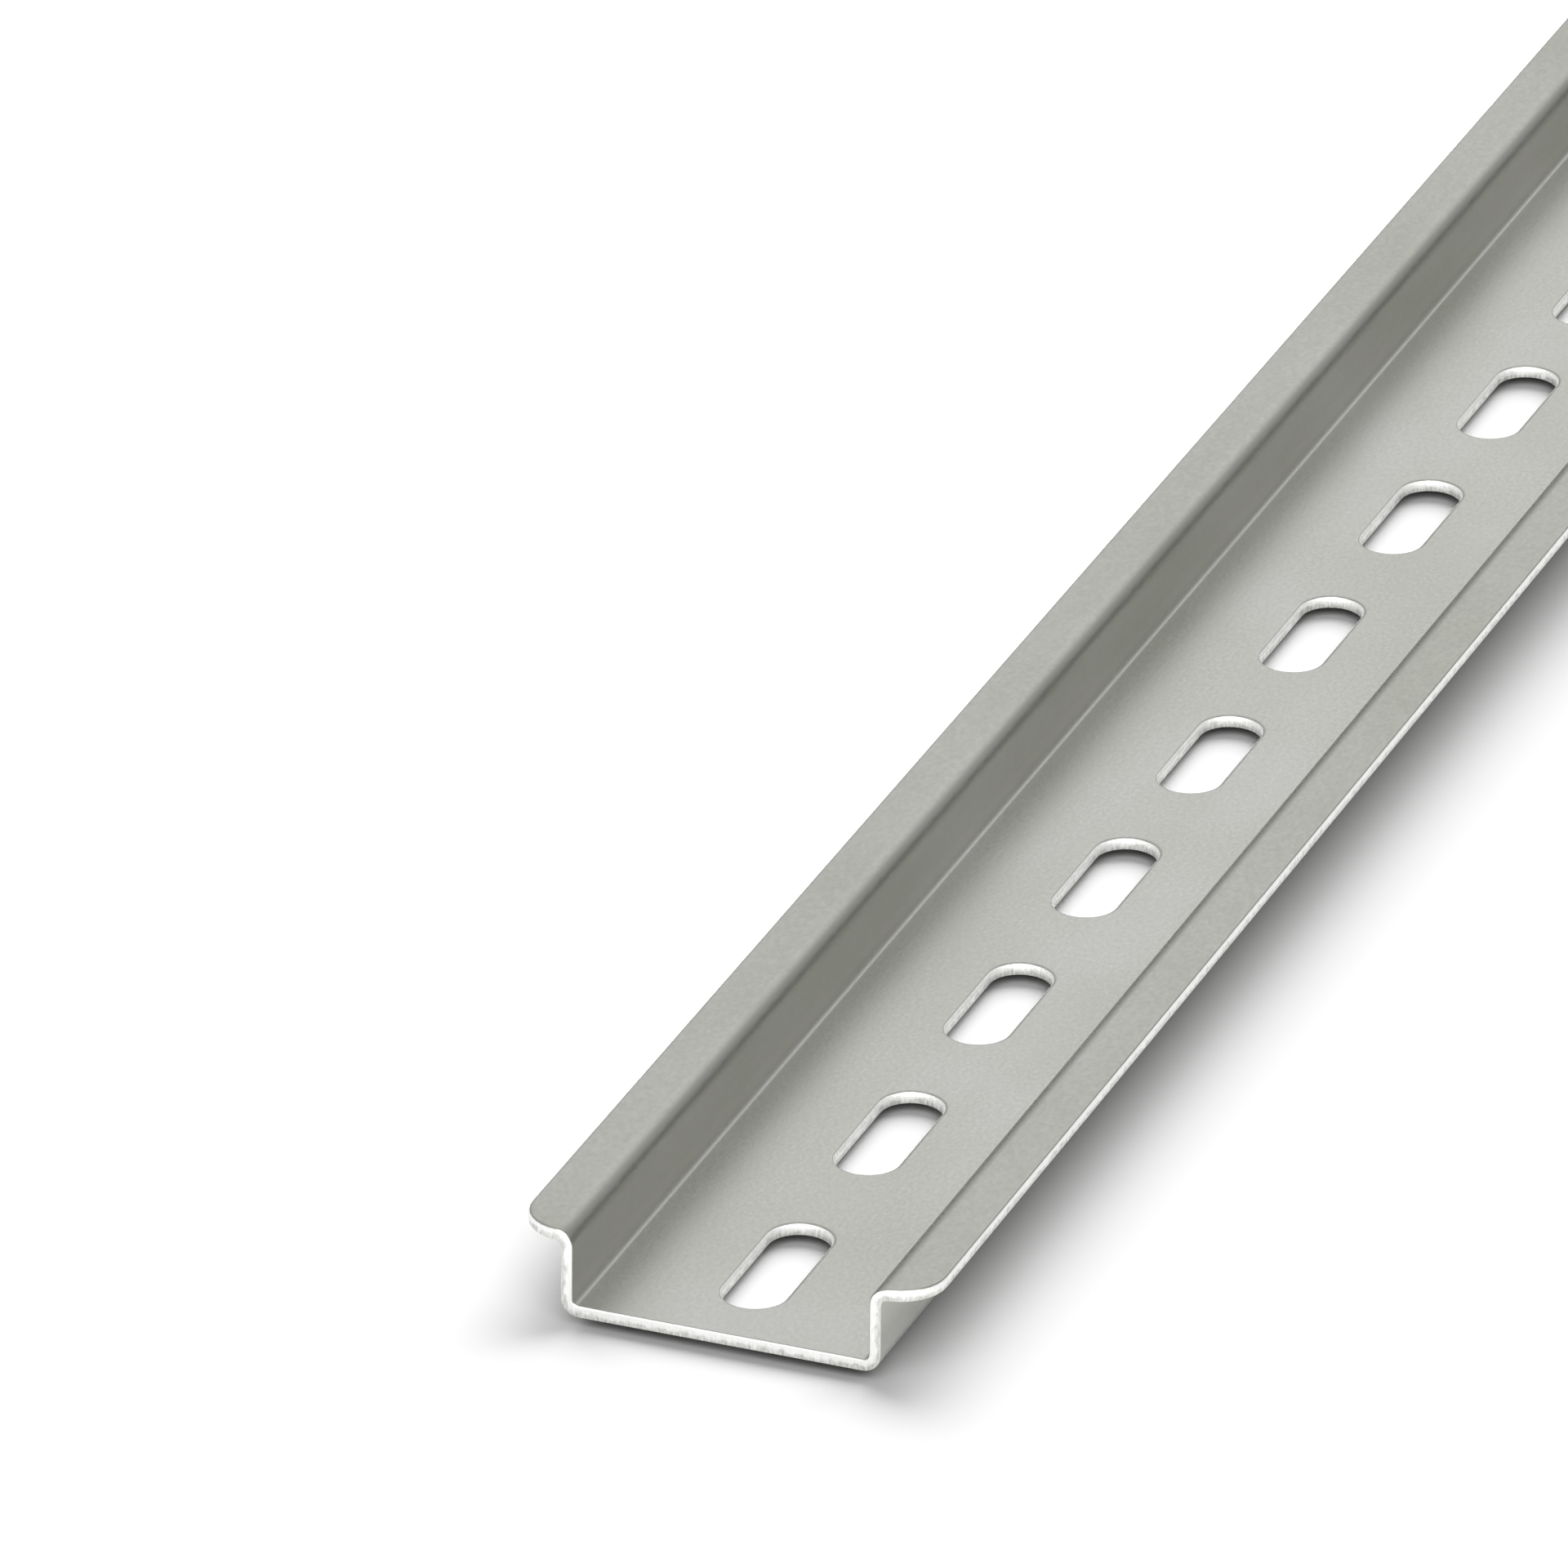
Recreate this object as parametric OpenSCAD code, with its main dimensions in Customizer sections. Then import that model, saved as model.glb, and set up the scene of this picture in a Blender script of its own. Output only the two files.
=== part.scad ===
// Perforated top-hat mounting rail: one steel strip, roll-formed to a flat floor, low walls and outward lips.
// The mounting face is at z = 0, the rail runs along x, and its middle is at the origin.

/* [Section] */
// Width of the rail over both lips
rail_w = 35; // [33:0.5:40]
// Height from the mounting face to the top of the lips
rail_h = 7.5; // [7:0.5:15]
// Width over the outer faces of the side walls
channel_w = 27; // [22:0.5:28]
// Thickness of the steel strip
strip_t = 1; // [0.8:0.1:1.5]
// Radius on the inside of each bend
bend_r = 0.5; // [0.3:0.1:1.2]

/* [Length] */
// Length of the rail between its cut ends
rail_l = 1000; // [100:25:2000]
// Radius of the lip corners at the cut ends
lip_corner_r = 4; // [1:0.5:4]

/* [Slots] */
// Length of a slot from end to end
slot_l = 15; // [10:0.5:20]
// Width of a slot
slot_w = 5.2; // [4:0.1:8]
// Distance from the centre of one slot to the next
slot_pitch = 25; // [21:1:50]

/* [Hidden] */
$fn = 64;
// Radius on the outside of each bend
bend_out_r = bend_r + strip_t;
// Distance from the centre line to the inner face of a wall
wall_in = channel_w / 2 - strip_t;
// Distance from the centre line to where the flat floor meets a bend
floor_half = wall_in - bend_r;
// Distance from the centre line to where a bend meets the flat lip
lip_start = wall_in + bend_out_r;
// Whole slots that fit, with equal margins at both ends
slot_count = floor(rail_l / slot_pitch);
first_slot_x = -(slot_count - 1) * slot_pitch / 2;
// Stock that the formed strip has past its finished outline, before it is cut to size
trim = 1;

// One bend of the strip, centred on the origin, in the quarter right of it and below it
module bend() {
    intersection() {
        difference() {
            circle(r = bend_out_r);
            circle(r = bend_r);
        }
        translate([0, -bend_out_r])
            square(bend_out_r);
    }
}

// Lower bend, wall, upper bend and lip of the right-hand side
module side_section() {
    translate([floor_half, bend_out_r])
        bend();
    translate([wall_in, bend_out_r])
        square([strip_t, rail_h - 2 * bend_out_r]);
    translate([lip_start, rail_h - bend_out_r])
        rotate(180)
            bend();
    translate([lip_start, rail_h - strip_t])
        square([rail_w / 2 + trim - lip_start, strip_t]);
}

// Whole cross-section of the formed strip
module section() {
    translate([-floor_half, 0])
        square([2 * floor_half, strip_t]);
    for (side = [0, 1])
        mirror([side, 0])
            side_section();
}

// Formed strip along x, still longer and wider than the finished rail
module formed_strip() {
    rotate([90, 0, 90])
        linear_extrude(rail_l + 2 * trim, center = true)
            section();
}

// Finished outline from above, with rounded lip corners
module outline() {
    square([rail_l - 2 * lip_corner_r, rail_w], center = true);
    square([rail_l, rail_w - 2 * lip_corner_r], center = true);
    for (x_side = [-1, 1], y_side = [-1, 1])
        translate([x_side * (rail_l / 2 - lip_corner_r), y_side * (rail_w / 2 - lip_corner_r)])
            circle(r = lip_corner_r);
}

// Fixing slot with round ends, along x
module slot() {
    straight = slot_l - slot_w;
    square([straight, slot_w], center = true);
    for (end = [-1, 1])
        translate([end * straight / 2, 0])
            circle(d = slot_w);
}

// Outline with every slot punched out of it
module punched_outline() {
    difference() {
        outline();
        for (i = [0 : slot_count - 1])
            translate([first_slot_x + i * slot_pitch, 0])
                slot();
    }
}

// The formed strip cut to its outline and punched
module rail() {
    color("silver")
        intersection() {
            formed_strip();
            translate([0, 0, -trim])
                linear_extrude(rail_h + 2 * trim)
                    punched_outline();
        }
}

rail();
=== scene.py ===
"""A perforated top-hat mounting rail of galvanised steel, on a white table in soft studio light.

Lengths are in metres. The rail runs along x, with its mounting face at z = 0.
The camera looks at its end at -x.
"""

import math

import bpy
from mathutils import Matrix, Vector


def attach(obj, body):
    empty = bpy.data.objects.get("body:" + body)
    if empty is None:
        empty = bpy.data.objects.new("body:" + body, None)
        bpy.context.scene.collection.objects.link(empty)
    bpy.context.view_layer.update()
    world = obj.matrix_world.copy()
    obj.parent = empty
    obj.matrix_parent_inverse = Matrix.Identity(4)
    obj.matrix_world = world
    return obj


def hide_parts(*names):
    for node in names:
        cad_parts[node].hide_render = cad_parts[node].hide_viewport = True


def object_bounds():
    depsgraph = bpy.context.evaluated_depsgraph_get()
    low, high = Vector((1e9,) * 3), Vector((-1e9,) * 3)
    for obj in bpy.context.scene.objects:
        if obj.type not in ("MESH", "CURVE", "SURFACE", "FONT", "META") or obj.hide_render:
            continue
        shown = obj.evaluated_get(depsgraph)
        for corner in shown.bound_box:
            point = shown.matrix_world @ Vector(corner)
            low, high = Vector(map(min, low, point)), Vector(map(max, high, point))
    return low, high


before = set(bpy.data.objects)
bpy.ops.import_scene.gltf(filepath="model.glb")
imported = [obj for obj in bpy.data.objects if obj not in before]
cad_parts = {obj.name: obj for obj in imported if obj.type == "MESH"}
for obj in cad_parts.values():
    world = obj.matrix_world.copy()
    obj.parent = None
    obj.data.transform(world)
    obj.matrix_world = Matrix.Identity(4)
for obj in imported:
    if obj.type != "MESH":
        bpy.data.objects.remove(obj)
cad_low, cad_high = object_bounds()

MM = 0.001

# The rail's own dimensions, as in the CAD source
STRIP_T = 1.0 * MM
BEND_R = 0.5 * MM
CHANNEL_W = 27.0 * MM
LIP_CORNER_R = 4.0 * MM
SLOT_L = 15.0 * MM
SLOT_W = 5.2 * MM
SLOT_PITCH = 25.0 * MM
RAIL_W = cad_high.y - cad_low.y
RAIL_H = cad_high.z - cad_low.z
HALF_L = (cad_high.x - cad_low.x) / 2
SLOT_COUNT = round(2 * HALF_L / SLOT_PITCH)

# Rounding of the edges that the CAD solid leaves sharp
PUNCH_ROLL = 0.45 * MM  # upper edge of each slot, drawn in by the punch
SHEAR_ROLL = 0.2 * MM  # upper edge of the lips and of the cut ends
BURR_ROUND = 0.06 * MM  # lower edges, where the tool leaves the strip

# Fineness of the mesh
FLOOR_STEPS = 3
BEND_STEPS = 8
WALL_STEPS = 2
CORNER_STEPS = 8
CAP_STEPS = 6  # arc of a slot's end that faces the short side of its cell
SHOULDER_STEPS = 5  # arc of a slot's end that faces a long side of its cell
STRAIGHT_STEPS = 2
ROLL_STEPS = 5
BURR_STEPS = 2
# Belts of an edge's roll that the coated skin still covers, before the sheared face begins
COATED_BELTS = 3
SLOT_COATED_BELTS = 2

# Half of the section, measured from the centre line outwards along the middle of the strip
MID_R = BEND_R + STRIP_T / 2
BEND_CENTRE = BEND_R + STRIP_T
FLOOR_END = CHANNEL_W / 2 - BEND_CENTRE
LOWER_BEND_END = FLOOR_END + MID_R * math.pi / 2
WALL_END = LOWER_BEND_END + RAIL_H - 2 * BEND_CENTRE
UPPER_BEND_END = WALL_END + MID_R * math.pi / 2
LIP_START_Y = FLOOR_END + 2 * BEND_R + STRIP_T
CORNER_START_Y = RAIL_W / 2 - LIP_CORNER_R

# The grid of the mesh: each slot lies in a cell, one slot pitch long, in a band along the floor
BAND_HALF_W = 5.0 * MM
HALF_STRAIGHT = (SLOT_L - SLOT_W) / 2
CELL_COLUMNS = 2 * SHOULDER_STEPS + STRAIGHT_STEPS
COLUMNS = SLOT_COUNT * CELL_COLUMNS
SIDE_ROWS = FLOOR_STEPS + 2 * BEND_STEPS + WALL_STEPS + CORNER_STEPS
BAND_TOP = SIDE_ROWS + CAP_STEPS
ROWS = BAND_TOP + SIDE_ROWS


# ---------------------------------------------------------------- shape of the strip
def section_point(s, h):
    """(y, z) at the signed distance s from the centre line along the strip, h above the strip's middle."""
    side, s = math.copysign(1, s), abs(s)
    if s <= FLOOR_END:
        y, z = s, STRIP_T / 2 + h
    elif s <= LOWER_BEND_END:
        turn, r = (s - FLOOR_END) / MID_R, MID_R - h
        y, z = FLOOR_END + r * math.sin(turn), BEND_CENTRE - r * math.cos(turn)
    elif s <= WALL_END:
        y, z = (CHANNEL_W - STRIP_T) / 2 - h, BEND_CENTRE + s - LOWER_BEND_END
    elif s <= UPPER_BEND_END:
        turn, r = (s - WALL_END) / MID_R, MID_R + h
        y, z = LIP_START_Y - r * math.cos(turn), RAIL_H - BEND_CENTRE + r * math.sin(turn)
    else:
        y, z = LIP_START_Y + s - UPPER_BEND_END, RAIL_H - STRIP_T / 2 + h
    return side * y, z


def spread(start, end, steps):
    """The values after start that lead to end in even steps."""
    return [start + (end - start) * k / steps for k in range(1, steps + 1)]


def side_rows(inset):
    """(s, turn) of each row of one side, outwards from the slots' band.

    turn is the row's angle round the rounded corner of the lip, in an outline drawn in by inset."""
    rows = []
    stretches = (
        (BAND_HALF_W, FLOOR_END, FLOOR_STEPS),
        (FLOOR_END, LOWER_BEND_END, BEND_STEPS),
        (LOWER_BEND_END, WALL_END, WALL_STEPS),
        (WALL_END, UPPER_BEND_END, BEND_STEPS),
    )
    for start, end, steps in stretches:
        for s in spread(start, end, steps):
            beyond = max(0.0, section_point(s, 0)[0] - CORNER_START_Y)
            rows.append((s, math.asin(beyond / LIP_CORNER_R)))
    for turn in spread(rows[-1][1], math.pi / 2, CORNER_STEPS):
        y = CORNER_START_Y + (LIP_CORNER_R - inset) * math.sin(turn)
        rows.append((UPPER_BEND_END + y - LIP_START_Y, turn))
    return rows


def all_rows(inset):
    """(s, turn) of every row of the grid, from the edge of one lip to that of the other."""
    side = side_rows(inset)
    band = [(s, 0.0) for s in [-BAND_HALF_W] + spread(-BAND_HALF_W, BAND_HALF_W, CAP_STEPS)]
    return [(-s, turn) for s, turn in reversed(side)] + band + side


def cell_centre(cell):
    """x of the middle of a slot's cell."""
    return (cell + 0.5) * SLOT_PITCH - HALF_L


def column_stations(turn, inset):
    """x of every column of the grid in one row."""
    end_x = HALF_L - LIP_CORNER_R + (LIP_CORNER_R - inset) * math.cos(turn)
    stations = [-end_x]
    for cell in range(SLOT_COUNT):
        centre = cell_centre(cell)
        cell_end = end_x if cell == SLOT_COUNT - 1 else centre + SLOT_PITCH / 2
        stations += spread(stations[-1], centre - HALF_STRAIGHT, SHOULDER_STEPS)
        stations += spread(centre - HALF_STRAIGHT, centre + HALF_STRAIGHT, STRAIGHT_STEPS)
        stations += spread(centre + HALF_STRAIGHT, cell_end, SHOULDER_STEPS)
    return stations


def slot_outline(inset):
    """(x, y) round a slot about its centre, widened by inset, in step with grid_loop round its cell."""
    r = SLOT_W / 2 + inset
    step = math.pi / (2 * SHOULDER_STEPS + CAP_STEPS)
    down = 1.5 * math.pi
    half = []
    for k in range(SHOULDER_STEPS, 0, -1):
        turn = down - k * step
        half.append((-HALF_STRAIGHT + r * math.cos(turn), r * math.sin(turn)))
    for x in [-HALF_STRAIGHT] + spread(-HALF_STRAIGHT, HALF_STRAIGHT, STRAIGHT_STEPS):
        half.append((x, -r))
    for k in range(1, SHOULDER_STEPS + CAP_STEPS):
        turn = down + k * step
        half.append((HALF_STRAIGHT + r * math.cos(turn), r * math.sin(turn)))
    return half + [(-x, -y) for x, y in half]


def grid_loop(low_row, low_column, high_row, high_column):
    """(row, column) round a rectangle of the grid, anticlockwise seen from above."""
    loop = [(low_row, column) for column in range(low_column, high_column)]
    loop += [(row, high_column) for row in range(low_row, high_row)]
    loop += [(high_row, column) for column in range(high_column, low_column, -1)]
    loop += [(row, low_column) for row in range(high_row, low_row, -1)]
    return loop


def edge_profile(roll):
    """(inset, h) down a cut edge: rolled at the upper face, then straight, then nearly sharp."""
    roll_end, burr_start = STRIP_T / 2 - roll, BURR_ROUND - STRIP_T / 2
    profile = []
    for turn in [0.0] + spread(0.0, math.pi / 2, ROLL_STEPS):
        profile.append((roll - roll * math.sin(turn), roll_end + roll * math.cos(turn)))
    for turn in [0.0] + spread(0.0, math.pi / 2, BURR_STEPS):
        inset = BURR_ROUND - BURR_ROUND * math.cos(turn)
        profile.append((inset, burr_start - BURR_ROUND * math.sin(turn)))
    return profile


# ---------------------------------------------------------------- mesh of the strip
# The mesh attribute that runs from 0 at the strip's upper face to 1 at its lower one
CUT_DEPTH = "cut_depth"


class StripMesh:
    """Collects the points and faces of one closed mesh. A face is either coated (0) or cut (1)."""

    def __init__(self):
        self.points, self.depths, self.faces, self.finishes = [], [], [], []

    def add_point(self, x, s, h):
        self.points.append((x, *section_point(s, h)))
        self.depths.append(0.5 - h / STRIP_T)
        return len(self.points) - 1

    def add_face(self, corners, finish=0):
        self.faces.append(corners)
        self.finishes.append(finish)

    def add_belt(self, first, second, finish=0):
        """Faces between two closed loops of as many points."""
        for k in range(len(first)):
            n = (k + 1) % len(first)
            self.add_face((first[k], first[n], second[n], second[k]), finish)

    def add_skin(self, inset, h):
        """One face of the strip without its slots' cells. Returns its points by (row, column)."""
        skin = {}
        for row, (s, turn) in enumerate(all_rows(inset)):
            in_band = SIDE_ROWS < row < BAND_TOP
            for column, x in enumerate(column_stations(turn, inset)):
                if not in_band or column % CELL_COLUMNS == 0:
                    skin[row, column] = self.add_point(x, s, h)
        for row in range(ROWS):
            if SIDE_ROWS <= row < BAND_TOP:
                continue
            for column in range(COLUMNS):
                corners = [skin[place] for place in grid_loop(row, column, row + 1, column + 1)]
                self.add_face(corners if h > 0 else corners[::-1])
        return skin

    def add_slot(self, cell, upper, lower):
        """The two skins inside one cell, and the punched edge that joins them."""
        centre = cell_centre(cell)
        places = grid_loop(SIDE_ROWS, cell * CELL_COLUMNS, BAND_TOP, (cell + 1) * CELL_COLUMNS)
        above = [upper[place] for place in places]
        for k, (inset, h) in enumerate(edge_profile(PUNCH_ROLL)):
            ring = [self.add_point(centre + x, y, h) for x, y in slot_outline(inset)]
            self.add_belt(above, ring, finish=int(k > SLOT_COATED_BELTS))
            above = ring
        self.add_belt(above, [lower[place] for place in places])

    def add_outline(self, upper, lower):
        """The cut edge round the whole strip."""
        places = grid_loop(0, 0, ROWS, COLUMNS)
        above = [upper[place] for place in places]
        profile = edge_profile(SHEAR_ROLL)
        for k, (inset, h) in enumerate(profile[1:-1], start=1):
            rows = all_rows(inset)
            stations = [column_stations(turn, inset) for s, turn in rows]
            ring = [self.add_point(stations[row][column], rows[row][0], h) for row, column in places]
            self.add_belt(ring, above, finish=int(k > COATED_BELTS))
            above = ring
        self.add_belt([lower[place] for place in places], above, finish=1)


def make_rail():
    """The whole rail as one formed strip, in place of the CAD node."""
    strip = StripMesh()
    upper = strip.add_skin(SHEAR_ROLL, STRIP_T / 2)
    lower = strip.add_skin(BURR_ROUND, -STRIP_T / 2)
    for cell in range(SLOT_COUNT):
        strip.add_slot(cell, upper, lower)
    strip.add_outline(upper, lower)
    mesh = bpy.data.meshes.new("rail_strip")
    mesh.from_pydata(strip.points, [], strip.faces)
    mesh.materials.append(coated_steel())
    mesh.materials.append(cut_steel())
    mesh.polygons.foreach_set("material_index", strip.finishes)
    mesh.attributes.new(CUT_DEPTH, "FLOAT", "POINT").data.foreach_set("value", strip.depths)
    mesh.polygons.foreach_set("use_smooth", [True] * len(strip.faces))
    rail = bpy.data.objects.new("rail_strip", mesh)
    bpy.context.collection.objects.link(rail)
    normals = rail.modifiers.new("flat_faces_stay_flat", "WEIGHTED_NORMAL")
    normals.mode = "FACE_AREA"
    normals.weight = 100
    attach(rail, "root")
    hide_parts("rail")


# ---------------------------------------------------------------- materials
# Linear colours: a pair is the darker and the paler one, with noise to blend them
# The floor's pair is painted paler and the lips' pair darker: painted light and shade, laid over the
# steel's clouded tone
FLOOR_TONES_WITH_PAINTED_LIGHT = ((0.635, 0.64, 0.585), (0.70, 0.695, 0.675))
LIP_AND_WALL_TONES_WITH_PAINTED_SHADE = ((0.54, 0.555, 0.495), (0.605, 0.605, 0.575))
# The burnished pair is partly a painted sheen and the broken pair partly painted shade, beside the shear's
# real zones
BURNISHED_TONES_WITH_PAINTED_SHEEN = ((0.88, 0.88, 0.86), (0.97, 0.97, 0.96))
BROKEN_TONES_WITH_PAINTED_SHADE = ((0.50, 0.50, 0.47), (0.84, 0.84, 0.82))
TABLE_TONE = (0.29, 0.29, 0.29)
SKIN_ROUGHNESS = (0.32, 0.44)
CUT_ROUGHNESS = (0.45, 0.65)
CUT_METALLIC = 0.6

# Painted light and shade: the floor's tones are paler than those of the walls and lips, for the light that
# falls on each. This is where the floor's tones give way to the lips', from the mounting face up
PAINTED_SHADE_HEIGHTS = (STRIP_T, 3 * STRIP_T)

# Where a cut edge goes from burnished to broken, and so from painted sheen to painted shade, in shares of
# its depth, and how much that place wanders
BREAK_START = 0.45
BREAK_END = 0.75
RAGGEDNESS = 1.2

NOISE_SPAN = (0.3, 0.7)  # nearly all the numbers of a noise texture lie in it
NOISE_MIDDLE = 0.5

# The sockets of a Mix node for colours, by number because their names aren't unique
MIX_SHARE = 0
MIX_FIRST = 6
MIX_SECOND = 7
MIX_RESULT = 2


def new_material(name):
    """(material, tree, shader) of a new node material."""
    material = bpy.data.materials.new(name)
    material.use_nodes = True
    tree = material.node_tree
    return material, tree, tree.nodes["Principled BSDF"]


def noise(tree, per_metre, detail, stretch=(1, 1, 1)):
    """A noise texture on the object's own coordinates, with its features drawn out by stretch."""
    place = tree.nodes.new("ShaderNodeTexCoord")
    mapping = tree.nodes.new("ShaderNodeMapping")
    mapping.inputs["Scale"].default_value = [per_metre / s for s in stretch]
    texture = tree.nodes.new("ShaderNodeTexNoise")
    texture.inputs["Scale"].default_value = 1.0
    texture.inputs["Detail"].default_value = detail
    tree.links.new(place.outputs["Object"], mapping.inputs["Vector"])
    tree.links.new(mapping.outputs["Vector"], texture.inputs["Vector"])
    return texture.outputs["Fac"]


def height(tree):
    """The height above the rail's mounting face."""
    place = tree.nodes.new("ShaderNodeTexCoord")
    split = tree.nodes.new("ShaderNodeSeparateXYZ")
    tree.links.new(place.outputs["Object"], split.inputs["Vector"])
    return split.outputs["Z"]


def remap(tree, source, span, onto=(0.0, 1.0), easing="LINEAR"):
    """The source's numbers, moved from one span onto another. Those beyond an end are kept at it."""
    node = tree.nodes.new("ShaderNodeMapRange")
    node.interpolation_type = easing
    for name, end in zip(("From Min", "From Max", "To Min", "To Max"), (*span, *onto)):
        node.inputs[name].default_value = end
    tree.links.new(source, node.inputs["Value"])
    return node.outputs["Result"]


def blend(tree, share, first, second):
    """A colour between the first and the second: each is a colour, or the output of a node."""
    node = tree.nodes.new("ShaderNodeMix")
    node.data_type = "RGBA"
    tree.links.new(share, node.inputs[MIX_SHARE])
    for place, colour in ((MIX_FIRST, first), (MIX_SECOND, second)):
        if isinstance(colour, tuple):
            node.inputs[place].default_value = (*colour, 1)
        else:
            tree.links.new(colour, node.inputs[place])
    return node.outputs[MIX_RESULT]


def bump(tree, relief, distance, below=None):
    """The normal of a surface with that relief, laid over the bump below if there is one."""
    node = tree.nodes.new("ShaderNodeBump")
    node.inputs["Distance"].default_value = distance
    tree.links.new(relief, node.inputs["Height"])
    if below is not None:
        tree.links.new(below, node.inputs["Normal"])
    return node.outputs["Normal"]


def coated_steel():
    """Galvanised and passivated sheet: satin grey, clouded, with fine grain and faint rolling lines. The
    floor is painted paler than the walls and lips: painted light and shade.
    """
    material, tree, shader = new_material("galvanised_steel")
    clouds = remap(tree, noise(tree, per_metre=90, detail=5, stretch=(2, 1, 1)), NOISE_SPAN)
    grain = noise(tree, per_metre=3000, detail=3, stretch=(1.5, 1, 1))
    lines = noise(tree, per_metre=1500, detail=2, stretch=(60, 1, 1))
    # Painted light and shade: the floor gets the paler tones, the walls and lips the darker ones
    floor_tone_with_painted_light = blend(tree, clouds, *FLOOR_TONES_WITH_PAINTED_LIGHT)
    lip_and_wall_tone_with_painted_shade = blend(tree, clouds, *LIP_AND_WALL_TONES_WITH_PAINTED_SHADE)
    tone = blend(tree, remap(tree, height(tree), PAINTED_SHADE_HEIGHTS), floor_tone_with_painted_light, lip_and_wall_tone_with_painted_shade)
    rolled = bump(tree, lines, distance=0.002 * MM)
    grained = bump(tree, grain, distance=0.01 * MM, below=rolled)
    shader.inputs["Metallic"].default_value = 1.0
    tree.links.new(tone, shader.inputs["Base Color"])
    tree.links.new(remap(tree, grain, NOISE_SPAN, SKIN_ROUGHNESS), shader.inputs["Roughness"])
    tree.links.new(grained, shader.inputs["Normal"])
    return material


def cut_steel():
    """Sheared edge: a bright burnished strip under the upper face, then a broken and darker one. The pale
    top is partly a painted sheen, and the darker lower strip is partly painted shade.
    """
    material, tree, shader = new_material("cut_edge")
    ragged = noise(tree, per_metre=1200, detail=4)
    fibres = noise(tree, per_metre=5000, detail=3, stretch=(1, 1, 4))
    depth = tree.nodes.new("ShaderNodeAttribute")
    depth.attribute_name = CUT_DEPTH
    uneven_depth = tree.nodes.new("ShaderNodeMath")
    uneven_depth.operation = "MULTIPLY_ADD"
    uneven_depth.inputs[1].default_value = RAGGEDNESS
    tree.links.new(ragged, uneven_depth.inputs[0])
    tree.links.new(depth.outputs["Fac"], uneven_depth.inputs[2])
    added = RAGGEDNESS * NOISE_MIDDLE
    # This share also moves the edge from painted sheen at the top to painted shade lower down
    broken = remap(tree, uneven_depth.outputs["Value"], (BREAK_START + added, BREAK_END + added))
    shade = remap(tree, fibres, NOISE_SPAN)
    # Painted sheen on the upper strip, painted shade on the lower one
    burnished_tone_with_painted_sheen = blend(tree, shade, *BURNISHED_TONES_WITH_PAINTED_SHEEN)
    broken_tone_with_painted_shade = blend(tree, shade, *BROKEN_TONES_WITH_PAINTED_SHADE)
    shader.inputs["Metallic"].default_value = CUT_METALLIC
    tree.links.new(blend(tree, broken, burnished_tone_with_painted_sheen, broken_tone_with_painted_shade), shader.inputs["Base Color"])
    tree.links.new(remap(tree, fibres, NOISE_SPAN, CUT_ROUGHNESS), shader.inputs["Roughness"])
    tree.links.new(bump(tree, fibres, distance=0.03 * MM), shader.inputs["Normal"])
    return material


def table_white():
    """Matt and of a low tone: the light from the back makes it white, and the rail's shadow soft."""
    material, _, shader = new_material("table_white")
    shader.inputs["Base Color"].default_value = (*TABLE_TONE, 1)
    shader.inputs["Roughness"].default_value = 1.0
    shader.inputs["Specular IOR Level"].default_value = 0.0
    return material


# ---------------------------------------------------------------- studio
# Angles are in degrees
CAMERA_AZIMUTH = -69.14
CAMERA_ELEVATION = 26.02
CAMERA_ROLL = 0.58
CAMERA_DISTANCE = 1.628
CAMERA_LENS = 474.9  # mm
CAMERA_SENSOR = 36.0  # mm
CAMERA_REACH = 100.0
# What the camera looks at, from the bottom centre of the cut end at -x
AIM_OFFSET = Vector((19.5, 2.5, 39.8)) * MM

TABLE_HALF = 30.0  # large enough to fill every view
TABLE_GAP = 0.8 * MM  # from the table top up to the rail's mounting face

SKY_STRENGTH = 0.2
SKY_CLIMB = (0.0, 0.34)  # the heights between which it grows to full strength: 1 is straight up
# The sky is 1 + (direction . SKY_LEAN) times as bright, but never below the least or above the most
SKY_LEAN = (2.14, 1.02, 0.0)
SKY_LEAST = 1.6
SKY_MOST = 4.0


def direction(azimuth, elevation):
    a, e = math.radians(azimuth), math.radians(elevation)
    return Vector((math.sin(a) * math.cos(e), -math.cos(a) * math.cos(e), math.sin(e)))


def make_camera():
    """The camera, in front of the end at -x, to the right of the rail and above it."""
    back = direction(CAMERA_AZIMUTH, CAMERA_ELEVATION)
    aim = Vector((cad_low.x, 0, 0)) + AIM_OFFSET
    data = bpy.data.cameras.new("camera")
    data.sensor_width = CAMERA_SENSOR
    data.lens = CAMERA_LENS
    data.clip_end = CAMERA_REACH
    camera = bpy.data.objects.new("camera", data)
    turn = (-back).to_track_quat("-Z", "Y").to_matrix().to_4x4()
    roll = Matrix.Rotation(math.radians(CAMERA_ROLL), 4, "Z")
    camera.matrix_world = Matrix.Translation(aim + back * CAMERA_DISTANCE) @ turn @ roll
    bpy.context.collection.objects.link(camera)
    bpy.context.scene.camera = camera


def make_table():
    """A pale table top just under the rail."""
    square = ((-1, -1), (1, -1), (1, 1), (-1, 1))
    corners = [(x * TABLE_HALF, y * TABLE_HALF, -TABLE_GAP) for x, y in square]
    mesh = bpy.data.meshes.new("table_top")
    mesh.from_pydata(corners, [], [(0, 1, 2, 3)])
    mesh.materials.append(table_white())
    table = bpy.data.objects.new("table_top", mesh)
    bpy.context.collection.objects.link(table)
    return table


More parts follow.
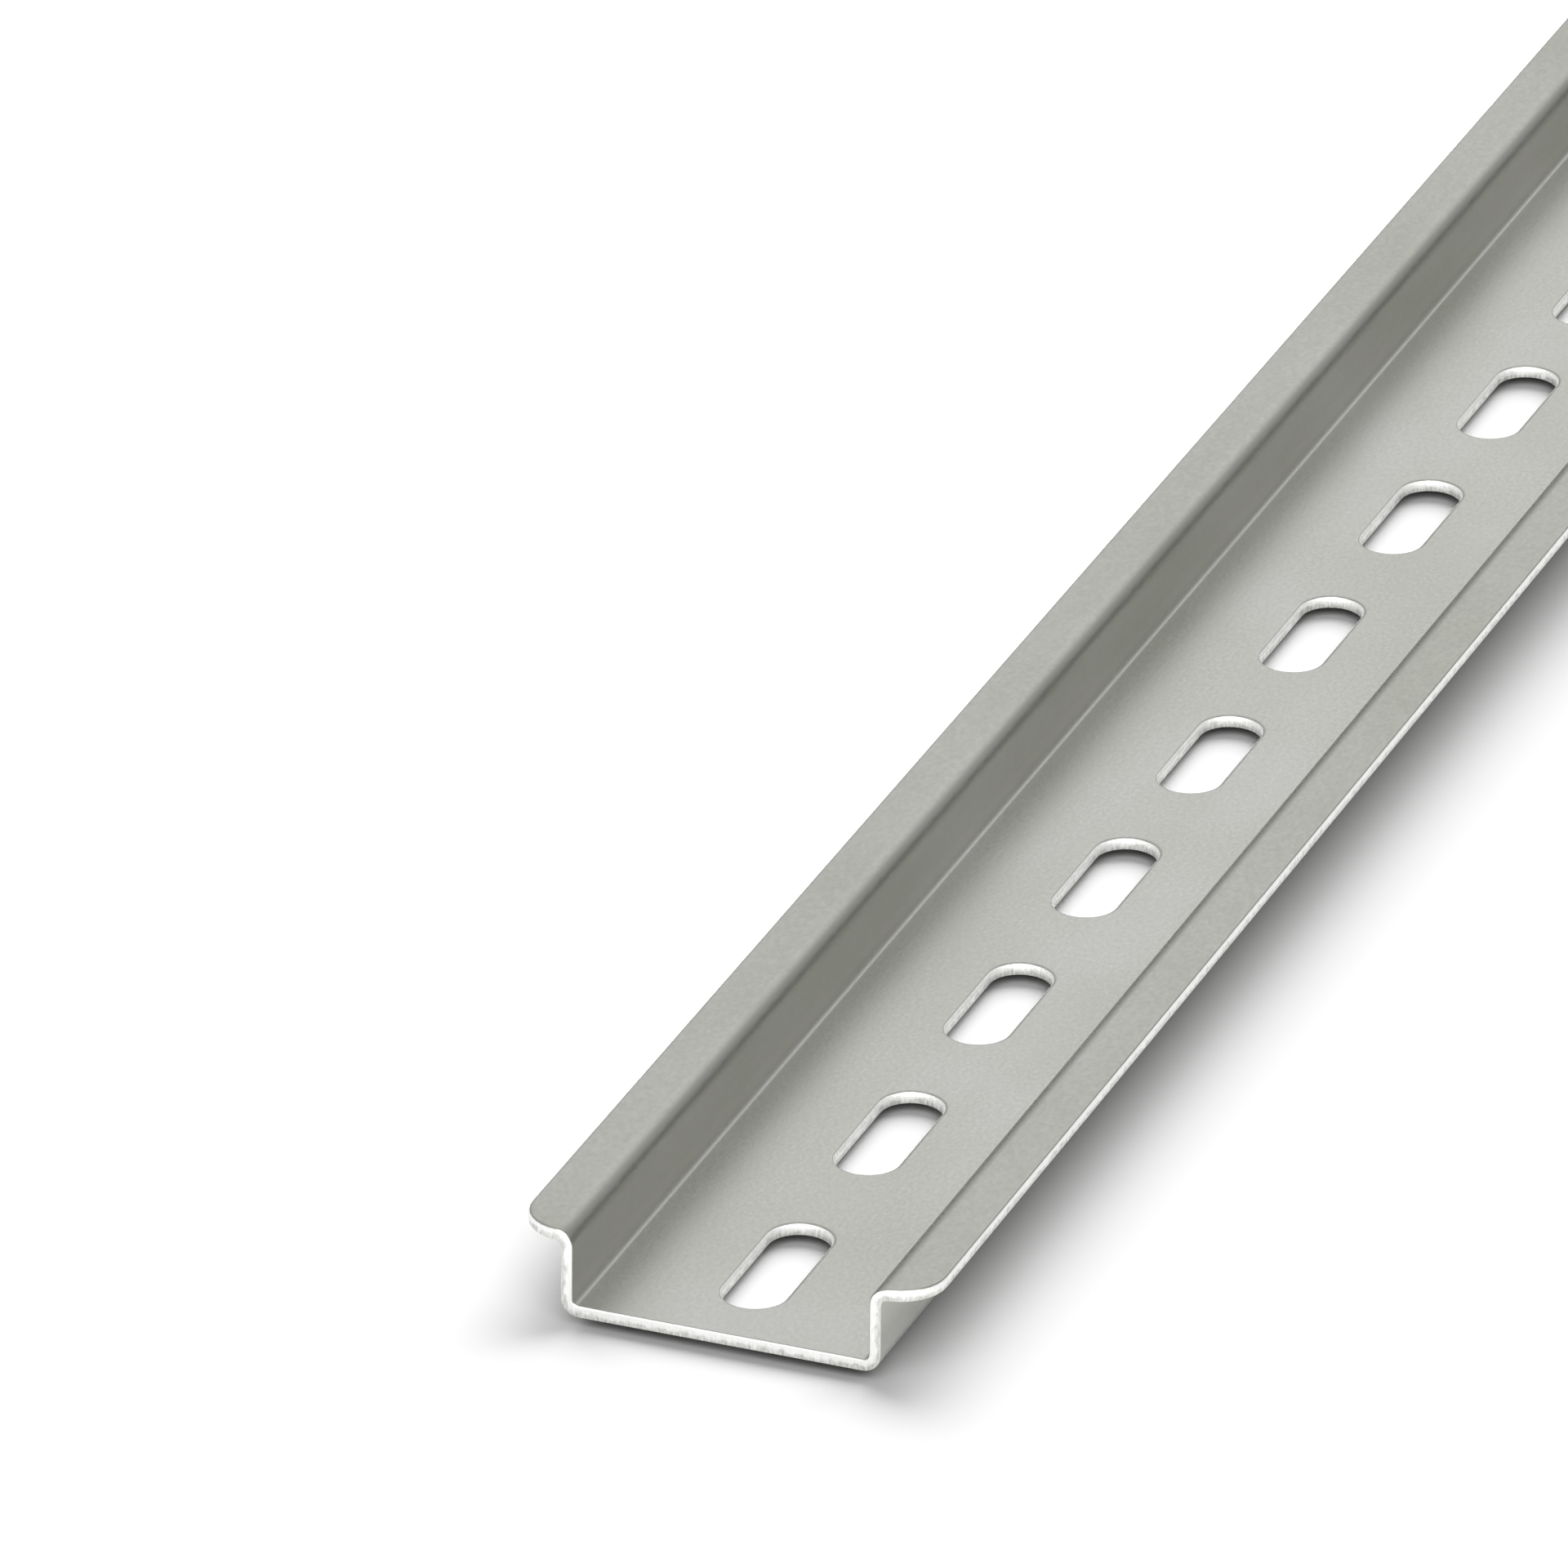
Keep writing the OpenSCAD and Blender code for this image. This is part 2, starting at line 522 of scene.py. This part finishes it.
def make_sun(name, azimuth, elevation, strength, spread_angle, lights_only=None):
    """A far soft box: a disc of light, spread_angle wide, that may be for one object only."""
    data = bpy.data.lights.new(name, "SUN")
    data.energy = strength
    data.angle = math.radians(spread_angle)
    sun = bpy.data.objects.new(name, data)
    sun.rotation_mode = "QUATERNION"
    sun.rotation_quaternion = direction(azimuth, elevation).to_track_quat("Z", "Y")
    bpy.context.collection.objects.link(sun)
    if lights_only is not None:
        receivers = bpy.data.collections.new(name + "_receivers")
        receivers.objects.link(lights_only)
        sun.light_linking.receiver_collection = receivers


def make_sky():
    """A pale surround: dark at the horizon, bright overhead, and brighter on one side."""
    world = bpy.data.worlds.new("studio")
    world.use_nodes = True
    bpy.context.scene.world = world
    tree = world.node_tree
    place = tree.nodes.new("ShaderNodeTexCoord")
    split = tree.nodes.new("ShaderNodeSeparateXYZ")
    lean = tree.nodes.new("ShaderNodeVectorMath")
    lean.operation = "DOT_PRODUCT"
    lean.inputs[1].default_value = SKY_LEAN
    tree.links.new(place.outputs["Generated"], split.inputs["Vector"])
    tree.links.new(place.outputs["Generated"], lean.inputs[0])
    rise = remap(tree, split.outputs["Z"], SKY_CLIMB, (0.0, SKY_STRENGTH), easing="SMOOTHSTEP")
    side = remap(tree, lean.outputs["Value"], (SKY_LEAST - 1, SKY_MOST - 1), (SKY_LEAST, SKY_MOST))
    strength = tree.nodes.new("ShaderNodeMath")
    strength.operation = "MULTIPLY"
    tree.links.new(rise, strength.inputs[0])
    tree.links.new(side, strength.inputs[1])
    background = tree.nodes["Background"]
    background.inputs["Color"].default_value = (1, 1, 1, 1)
    tree.links.new(strength.outputs["Value"], background.inputs["Strength"])


make_camera()
make_rail()
table_top = make_table()
make_sky()
# The light from the back is for the table alone, so that the rail's shadow falls towards the camera
make_sun("front", azimuth=290, elevation=50, strength=3.3, spread_angle=60)
make_sun("sheen", azimuth=97, elevation=29, strength=0.11, spread_angle=36)
make_sun("back", azimuth=97, elevation=36, strength=14.4, spread_angle=78, lights_only=table_top)
bpy.context.scene.view_settings.view_transform = "Standard"
